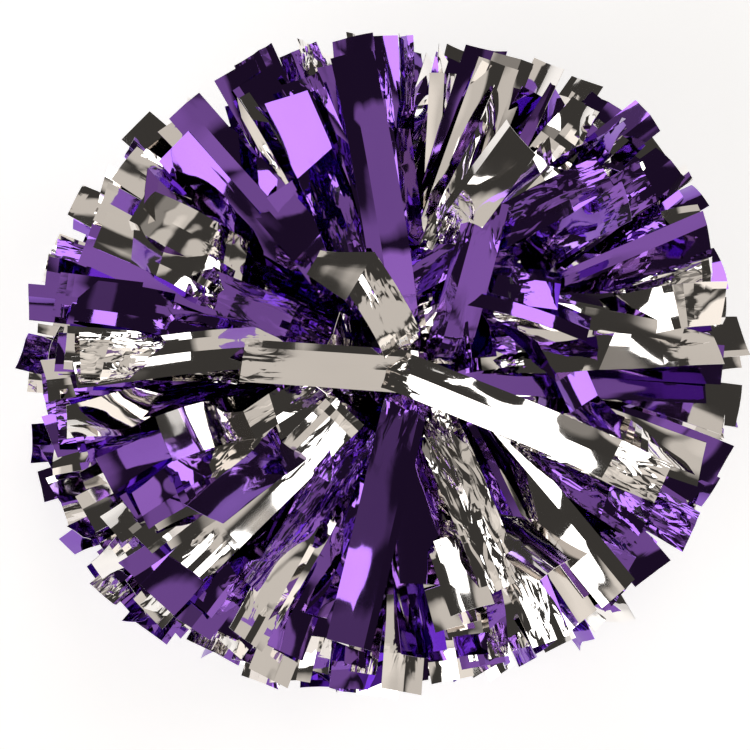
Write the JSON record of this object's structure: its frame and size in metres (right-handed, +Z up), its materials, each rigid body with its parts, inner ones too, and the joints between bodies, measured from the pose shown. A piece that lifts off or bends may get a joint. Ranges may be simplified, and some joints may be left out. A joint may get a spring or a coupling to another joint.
{
  "type": "cheer pom pom",
  "caption": "Fluffed cheer pom pom: two rosettes of wide purple and silver metallic film streamers on a hidden baton grip.",
  "frame": {"origin": "on the resting surface, under the middle of the pom pom", "axes": "+Z up along the baton towards the front rosette that is looked at; +X across the widest reach of the streamers; +Y completes the right-handed frame"},
  "size_m": [0.3274, 0.2972, 0.3066],
  "materials": {
    "purple_film": "metallised plastic film, high gloss, crinkled",
    "silver_film": "metallised plastic film, high gloss, crinkled",
    "grip_plastic": "moulded, fine texture",
    "hub_plastic": "moulded, smooth",
    "tie_nylon": "natural nylon"
  },
  "bodies": {
    "baton": {"grip_tube": "grip_plastic", "front_hub": "hub_plastic", "front_band": "silver_film", "front_tie": "tie_nylon", "front_end_cap": "hub_plastic", "rear_hub": "hub_plastic", "rear_band": "silver_film", "rear_tie": "tie_nylon", "rear_end_cap": "hub_plastic"},
    "front_skirt_000": {"front_skirt_000": "purple_film"},
    "front_middle_000": {"front_middle_000": "purple_film"},
    "front_upper_000": {"front_upper_000": "purple_film"},
    "front_skirt_045": {"front_skirt_045": "purple_film"},
    "front_middle_045": {"front_middle_045": "silver_film"},
    "front_upper_045": {"front_upper_045": "silver_film"},
    "front_skirt_090": {"front_skirt_090": "silver_film"},
    "front_middle_090": {"front_middle_090": "purple_film"},
    "front_upper_090": {"front_upper_090": "purple_film"},
    "front_skirt_135": {"front_skirt_135": "purple_film"},
    "front_middle_135": {"front_middle_135": "purple_film"},
    "front_upper_135": {"front_upper_135": "silver_film"},
    "front_skirt_180": {"front_skirt_180": "silver_film"},
    "front_middle_180": {"front_middle_180": "silver_film"},
    "front_upper_180": {"front_upper_180": "purple_film"},
    "front_skirt_225": {"front_skirt_225": "purple_film"},
    "front_middle_225": {"front_middle_225": "purple_film"},
    "front_upper_225": {"front_upper_225": "purple_film"},
    "front_skirt_270": {"front_skirt_270": "purple_film"},
    "front_middle_270": {"front_middle_270": "silver_film"},
    "front_upper_270": {"front_upper_270": "silver_film"},
    "front_skirt_315": {"front_skirt_315": "silver_film"},
    "front_middle_315": {"front_middle_315": "purple_film"},
    "front_upper_315": {"front_upper_315": "purple_film"},
    "front_crown": {"front_crown": "purple_film"},
    "rear_skirt_000": {"rear_skirt_000": "purple_film"},
    "rear_middle_000": {"rear_middle_000": "purple_film"},
    "rear_base_000": {"rear_base_000": "silver_film"},
    "rear_skirt_045": {"rear_skirt_045": "purple_film"},
    "rear_middle_045": {"rear_middle_045": "silver_film"},
    "rear_base_045": {"rear_base_045": "purple_film"},
    "rear_skirt_090": {"rear_skirt_090": "silver_film"},
    "rear_middle_090": {"rear_middle_090": "purple_film"},
    "rear_base_090": {"rear_base_090": "purple_film"},
    "rear_skirt_135": {"rear_skirt_135": "purple_film"},
    "rear_middle_135": {"rear_middle_135": "purple_film"},
    "rear_base_135": {"rear_base_135": "silver_film"},
    "rear_skirt_180": {"rear_skirt_180": "silver_film"},
    "rear_middle_180": {"rear_middle_180": "silver_film"},
    "rear_base_180": {"rear_base_180": "purple_film"},
    "rear_skirt_225": {"rear_skirt_225": "purple_film"},
    "rear_middle_225": {"rear_middle_225": "purple_film"},
    "rear_base_225": {"rear_base_225": "silver_film"},
    "rear_skirt_270": {"rear_skirt_270": "purple_film"},
    "rear_middle_270": {"rear_middle_270": "silver_film"},
    "rear_base_270": {"rear_base_270": "purple_film"},
    "rear_skirt_315": {"rear_skirt_315": "silver_film"},
    "rear_middle_315": {"rear_middle_315": "purple_film"},
    "rear_base_315": {"rear_base_315": "purple_film"},
    "rear_crown": {"rear_crown": "silver_film"}
  },
  "joints": [
    {"name": "front_skirt_000_bend", "type": "hinge", "parent": "baton", "child": "front_skirt_000", "pos_m": [0.019, 0, 0.191], "axis": [0, 1, 0], "range_deg": [-32, 8], "stiffness_Nm_per_rad": 0.25},
    {"name": "front_middle_000_bend", "type": "hinge", "parent": "baton", "child": "front_middle_000", "pos_m": [0.019, 0, 0.199], "axis": [0, 1, 0], "range_deg": [-28, 7], "stiffness_Nm_per_rad": 0.25},
    {"name": "front_upper_000_bend", "type": "hinge", "parent": "baton", "child": "front_upper_000", "pos_m": [0.019, 0, 0.207], "axis": [0, 1, 0], "range_deg": [-24, 6], "stiffness_Nm_per_rad": 0.25},
    {"name": "front_skirt_045_bend", "type": "hinge", "parent": "baton", "child": "front_skirt_045", "pos_m": [0.01344, 0.01344, 0.191], "axis": [-0.7071, 0.7071, 0], "range_deg": [-32, 8], "stiffness_Nm_per_rad": 0.25},
    {"name": "front_middle_045_bend", "type": "hinge", "parent": "baton", "child": "front_middle_045", "pos_m": [0.01344, 0.01344, 0.199], "axis": [-0.7071, 0.7071, 0], "range_deg": [-28, 7], "stiffness_Nm_per_rad": 0.25},
    {"name": "front_upper_045_bend", "type": "hinge", "parent": "baton", "child": "front_upper_045", "pos_m": [0.01344, 0.01344, 0.207], "axis": [-0.7071, 0.7071, 0], "range_deg": [-24, 6], "stiffness_Nm_per_rad": 0.25},
    {"name": "front_skirt_090_bend", "type": "hinge", "parent": "baton", "child": "front_skirt_090", "pos_m": [0, 0.019, 0.191], "axis": [-1, 0, 0], "range_deg": [-32, 8], "stiffness_Nm_per_rad": 0.25},
    {"name": "front_middle_090_bend", "type": "hinge", "parent": "baton", "child": "front_middle_090", "pos_m": [0, 0.019, 0.199], "axis": [-1, 0, 0], "range_deg": [-28, 7], "stiffness_Nm_per_rad": 0.25},
    {"name": "front_upper_090_bend", "type": "hinge", "parent": "baton", "child": "front_upper_090", "pos_m": [0, 0.019, 0.207], "axis": [-1, 0, 0], "range_deg": [-24, 6], "stiffness_Nm_per_rad": 0.25},
    {"name": "front_skirt_135_bend", "type": "hinge", "parent": "baton", "child": "front_skirt_135", "pos_m": [-0.01344, 0.01344, 0.191], "axis": [-0.7071, -0.7071, 0], "range_deg": [-32, 8], "stiffness_Nm_per_rad": 0.25},
    {"name": "front_middle_135_bend", "type": "hinge", "parent": "baton", "child": "front_middle_135", "pos_m": [-0.01344, 0.01344, 0.199], "axis": [-0.7071, -0.7071, 0], "range_deg": [-28, 7], "stiffness_Nm_per_rad": 0.25},
    {"name": "front_upper_135_bend", "type": "hinge", "parent": "baton", "child": "front_upper_135", "pos_m": [-0.01344, 0.01344, 0.207], "axis": [-0.7071, -0.7071, 0], "range_deg": [-24, 6], "stiffness_Nm_per_rad": 0.25},
    {"name": "front_skirt_180_bend", "type": "hinge", "parent": "baton", "child": "front_skirt_180", "pos_m": [-0.019, 0, 0.191], "axis": [0, -1, 0], "range_deg": [-32, 8], "stiffness_Nm_per_rad": 0.25},
    {"name": "front_middle_180_bend", "type": "hinge", "parent": "baton", "child": "front_middle_180", "pos_m": [-0.019, 0, 0.199], "axis": [0, -1, 0], "range_deg": [-28, 7], "stiffness_Nm_per_rad": 0.25},
    {"name": "front_upper_180_bend", "type": "hinge", "parent": "baton", "child": "front_upper_180", "pos_m": [-0.019, 0, 0.207], "axis": [0, -1, 0], "range_deg": [-24, 6], "stiffness_Nm_per_rad": 0.25},
    {"name": "front_skirt_225_bend", "type": "hinge", "parent": "baton", "child": "front_skirt_225", "pos_m": [-0.01344, -0.01344, 0.191], "axis": [0.7071, -0.7071, 0], "range_deg": [-32, 8], "stiffness_Nm_per_rad": 0.25},
    {"name": "front_middle_225_bend", "type": "hinge", "parent": "baton", "child": "front_middle_225", "pos_m": [-0.01344, -0.01344, 0.199], "axis": [0.7071, -0.7071, 0], "range_deg": [-28, 7], "stiffness_Nm_per_rad": 0.25},
    {"name": "front_upper_225_bend", "type": "hinge", "parent": "baton", "child": "front_upper_225", "pos_m": [-0.01344, -0.01344, 0.207], "axis": [0.7071, -0.7071, 0], "range_deg": [-24, 6], "stiffness_Nm_per_rad": 0.25},
    {"name": "front_skirt_270_bend", "type": "hinge", "parent": "baton", "child": "front_skirt_270", "pos_m": [0, -0.019, 0.191], "axis": [1, 0, 0], "range_deg": [-32, 8], "stiffness_Nm_per_rad": 0.25},
    {"name": "front_middle_270_bend", "type": "hinge", "parent": "baton", "child": "front_middle_270", "pos_m": [0, -0.019, 0.199], "axis": [1, 0, 0], "range_deg": [-28, 7], "stiffness_Nm_per_rad": 0.25},
    {"name": "front_upper_270_bend", "type": "hinge", "parent": "baton", "child": "front_upper_270", "pos_m": [0, -0.019, 0.207], "axis": [1, 0, 0], "range_deg": [-24, 6], "stiffness_Nm_per_rad": 0.25},
    {"name": "front_skirt_315_bend", "type": "hinge", "parent": "baton", "child": "front_skirt_315", "pos_m": [0.01344, -0.01344, 0.191], "axis": [0.7071, 0.7071, 0], "range_deg": [-32, 8], "stiffness_Nm_per_rad": 0.25},
    {"name": "front_middle_315_bend", "type": "hinge", "parent": "baton", "child": "front_middle_315", "pos_m": [0.01344, -0.01344, 0.199], "axis": [0.7071, 0.7071, 0], "range_deg": [-28, 7], "stiffness_Nm_per_rad": 0.25},
    {"name": "front_upper_315_bend", "type": "hinge", "parent": "baton", "child": "front_upper_315", "pos_m": [0.01344, -0.01344, 0.207], "axis": [0.7071, 0.7071, 0], "range_deg": [-24, 6], "stiffness_Nm_per_rad": 0.25},
    {"name": "front_crown_sway", "type": "hinge", "parent": "baton", "child": "front_crown", "pos_m": [0, 0, 0.215], "axis": [0, 1, 0], "range_deg": [-12, 12], "stiffness_Nm_per_rad": 0.25},
    {"name": "rear_skirt_000_bend", "type": "hinge", "parent": "baton", "child": "rear_skirt_000", "pos_m": [0.019, 0, 0.077], "axis": [0, -1, 0], "range_deg": [-32, 8], "stiffness_Nm_per_rad": 0.25},
    {"name": "rear_middle_000_bend", "type": "hinge", "parent": "baton", "child": "rear_middle_000", "pos_m": [0.019, 0, 0.069], "axis": [0, -1, 0], "range_deg": [-28, 7], "stiffness_Nm_per_rad": 0.25},
    {"name": "rear_base_000_bend", "type": "hinge", "parent": "baton", "child": "rear_base_000", "pos_m": [0.019, 0, 0.061], "axis": [0, -1, 0], "range_deg": [-28, 7], "stiffness_Nm_per_rad": 0.25},
    {"name": "rear_skirt_045_bend", "type": "hinge", "parent": "baton", "child": "rear_skirt_045", "pos_m": [0.01344, 0.01344, 0.077], "axis": [0.7071, -0.7071, 0], "range_deg": [-32, 8], "stiffness_Nm_per_rad": 0.25},
    {"name": "rear_middle_045_bend", "type": "hinge", "parent": "baton", "child": "rear_middle_045", "pos_m": [0.01344, 0.01344, 0.069], "axis": [0.7071, -0.7071, 0], "range_deg": [-28, 7], "stiffness_Nm_per_rad": 0.25},
    {"name": "rear_base_045_bend", "type": "hinge", "parent": "baton", "child": "rear_base_045", "pos_m": [0.01344, 0.01344, 0.061], "axis": [0.7071, -0.7071, 0], "range_deg": [-28, 7], "stiffness_Nm_per_rad": 0.25},
    {"name": "rear_skirt_090_bend", "type": "hinge", "parent": "baton", "child": "rear_skirt_090", "pos_m": [0, 0.019, 0.077], "axis": [1, 0, 0], "range_deg": [-32, 8], "stiffness_Nm_per_rad": 0.25},
    {"name": "rear_middle_090_bend", "type": "hinge", "parent": "baton", "child": "rear_middle_090", "pos_m": [0, 0.019, 0.069], "axis": [1, 0, 0], "range_deg": [-28, 7], "stiffness_Nm_per_rad": 0.25},
    {"name": "rear_base_090_bend", "type": "hinge", "parent": "baton", "child": "rear_base_090", "pos_m": [0, 0.019, 0.061], "axis": [1, 0, 0], "range_deg": [-28, 7], "stiffness_Nm_per_rad": 0.25},
    {"name": "rear_skirt_135_bend", "type": "hinge", "parent": "baton", "child": "rear_skirt_135", "pos_m": [-0.01344, 0.01344, 0.077], "axis": [0.7071, 0.7071, 0], "range_deg": [-32, 8], "stiffness_Nm_per_rad": 0.25},
    {"name": "rear_middle_135_bend", "type": "hinge", "parent": "baton", "child": "rear_middle_135", "pos_m": [-0.01344, 0.01344, 0.069], "axis": [0.7071, 0.7071, 0], "range_deg": [-28, 7], "stiffness_Nm_per_rad": 0.25},
    {"name": "rear_base_135_bend", "type": "hinge", "parent": "baton", "child": "rear_base_135", "pos_m": [-0.01344, 0.01344, 0.061], "axis": [0.7071, 0.7071, 0], "range_deg": [-28, 7], "stiffness_Nm_per_rad": 0.25},
    {"name": "rear_skirt_180_bend", "type": "hinge", "parent": "baton", "child": "rear_skirt_180", "pos_m": [-0.019, 0, 0.077], "axis": [0, 1, 0], "range_deg": [-32, 8], "stiffness_Nm_per_rad": 0.25},
    {"name": "rear_middle_180_bend", "type": "hinge", "parent": "baton", "child": "rear_middle_180", "pos_m": [-0.019, 0, 0.069], "axis": [0, 1, 0], "range_deg": [-28, 7], "stiffness_Nm_per_rad": 0.25},
    {"name": "rear_base_180_bend", "type": "hinge", "parent": "baton", "child": "rear_base_180", "pos_m": [-0.019, 0, 0.061], "axis": [0, 1, 0], "range_deg": [-28, 7], "stiffness_Nm_per_rad": 0.25},
    {"name": "rear_skirt_225_bend", "type": "hinge", "parent": "baton", "child": "rear_skirt_225", "pos_m": [-0.01344, -0.01344, 0.077], "axis": [-0.7071, 0.7071, 0], "range_deg": [-32, 8], "stiffness_Nm_per_rad": 0.25},
    {"name": "rear_middle_225_bend", "type": "hinge", "parent": "baton", "child": "rear_middle_225", "pos_m": [-0.01344, -0.01344, 0.069], "axis": [-0.7071, 0.7071, 0], "range_deg": [-28, 7], "stiffness_Nm_per_rad": 0.25},
    {"name": "rear_base_225_bend", "type": "hinge", "parent": "baton", "child": "rear_base_225", "pos_m": [-0.01344, -0.01344, 0.061], "axis": [-0.7071, 0.7071, 0], "range_deg": [-28, 7], "stiffness_Nm_per_rad": 0.25},
    {"name": "rear_skirt_270_bend", "type": "hinge", "parent": "baton", "child": "rear_skirt_270", "pos_m": [0, -0.019, 0.077], "axis": [-1, 0, 0], "range_deg": [-32, 8], "stiffness_Nm_per_rad": 0.25},
    {"name": "rear_middle_270_bend", "type": "hinge", "parent": "baton", "child": "rear_middle_270", "pos_m": [0, -0.019, 0.069], "axis": [-1, 0, 0], "range_deg": [-28, 7], "stiffness_Nm_per_rad": 0.25},
    {"name": "rear_base_270_bend", "type": "hinge", "parent": "baton", "child": "rear_base_270", "pos_m": [0, -0.019, 0.061], "axis": [-1, 0, 0], "range_deg": [-28, 7], "stiffness_Nm_per_rad": 0.25},
    {"name": "rear_skirt_315_bend", "type": "hinge", "parent": "baton", "child": "rear_skirt_315", "pos_m": [0.01344, -0.01344, 0.077], "axis": [-0.7071, -0.7071, 0], "range_deg": [-32, 8], "stiffness_Nm_per_rad": 0.25},
    {"name": "rear_middle_315_bend", "type": "hinge", "parent": "baton", "child": "rear_middle_315", "pos_m": [0.01344, -0.01344, 0.069], "axis": [-0.7071, -0.7071, 0], "range_deg": [-28, 7], "stiffness_Nm_per_rad": 0.25},
    {"name": "rear_base_315_bend", "type": "hinge", "parent": "baton", "child": "rear_base_315", "pos_m": [0.01344, -0.01344, 0.061], "axis": [-0.7071, -0.7071, 0], "range_deg": [-28, 7], "stiffness_Nm_per_rad": 0.25},
    {"name": "rear_crown_sway", "type": "hinge", "parent": "baton", "child": "rear_crown", "pos_m": [0, 0, 0.053], "axis": [0, 1, 0], "range_deg": [-6, 6], "stiffness_Nm_per_rad": 0.25}
  ],
  "couplings": [
    {"joint": "front_middle_000_bend", "follows": "front_skirt_000_bend", "ratio": 0.875},
    {"joint": "front_upper_000_bend", "follows": "front_skirt_000_bend", "ratio": 0.75},
    {"joint": "front_middle_045_bend", "follows": "front_skirt_045_bend", "ratio": 0.875},
    {"joint": "front_upper_045_bend", "follows": "front_skirt_045_bend", "ratio": 0.75},
    {"joint": "front_middle_090_bend", "follows": "front_skirt_090_bend", "ratio": 0.875},
    {"joint": "front_upper_090_bend", "follows": "front_skirt_090_bend", "ratio": 0.75},
    {"joint": "front_middle_135_bend", "follows": "front_skirt_135_bend", "ratio": 0.875},
    {"joint": "front_upper_135_bend", "follows": "front_skirt_135_bend", "ratio": 0.75},
    {"joint": "front_middle_180_bend", "follows": "front_skirt_180_bend", "ratio": 0.875},
    {"joint": "front_upper_180_bend", "follows": "front_skirt_180_bend", "ratio": 0.75},
    {"joint": "front_middle_225_bend", "follows": "front_skirt_225_bend", "ratio": 0.875},
    {"joint": "front_upper_225_bend", "follows": "front_skirt_225_bend", "ratio": 0.75},
    {"joint": "front_middle_270_bend", "follows": "front_skirt_270_bend", "ratio": 0.875},
    {"joint": "front_upper_270_bend", "follows": "front_skirt_270_bend", "ratio": 0.75},
    {"joint": "front_middle_315_bend", "follows": "front_skirt_315_bend", "ratio": 0.875},
    {"joint": "front_upper_315_bend", "follows": "front_skirt_315_bend", "ratio": 0.75},
    {"joint": "rear_middle_000_bend", "follows": "rear_skirt_000_bend", "ratio": 0.875},
    {"joint": "rear_base_000_bend", "follows": "rear_skirt_000_bend", "ratio": 0.875},
    {"joint": "rear_middle_045_bend", "follows": "rear_skirt_045_bend", "ratio": 0.875},
    {"joint": "rear_base_045_bend", "follows": "rear_skirt_045_bend", "ratio": 0.875},
    {"joint": "rear_middle_090_bend", "follows": "rear_skirt_090_bend", "ratio": 0.875},
    {"joint": "rear_base_090_bend", "follows": "rear_skirt_090_bend", "ratio": 0.875},
    {"joint": "rear_middle_135_bend", "follows": "rear_skirt_135_bend", "ratio": 0.875},
    {"joint": "rear_base_135_bend", "follows": "rear_skirt_135_bend", "ratio": 0.875},
    {"joint": "rear_middle_180_bend", "follows": "rear_skirt_180_bend", "ratio": 0.875},
    {"joint": "rear_base_180_bend", "follows": "rear_skirt_180_bend", "ratio": 0.875},
    {"joint": "rear_middle_225_bend", "follows": "rear_skirt_225_bend", "ratio": 0.875},
    {"joint": "rear_base_225_bend", "follows": "rear_skirt_225_bend", "ratio": 0.875},
    {"joint": "rear_middle_270_bend", "follows": "rear_skirt_270_bend", "ratio": 0.875},
    {"joint": "rear_base_270_bend", "follows": "rear_skirt_270_bend", "ratio": 0.875},
    {"joint": "rear_middle_315_bend", "follows": "rear_skirt_315_bend", "ratio": 0.875},
    {"joint": "rear_base_315_bend", "follows": "rear_skirt_315_bend", "ratio": 0.875}
  ]
}
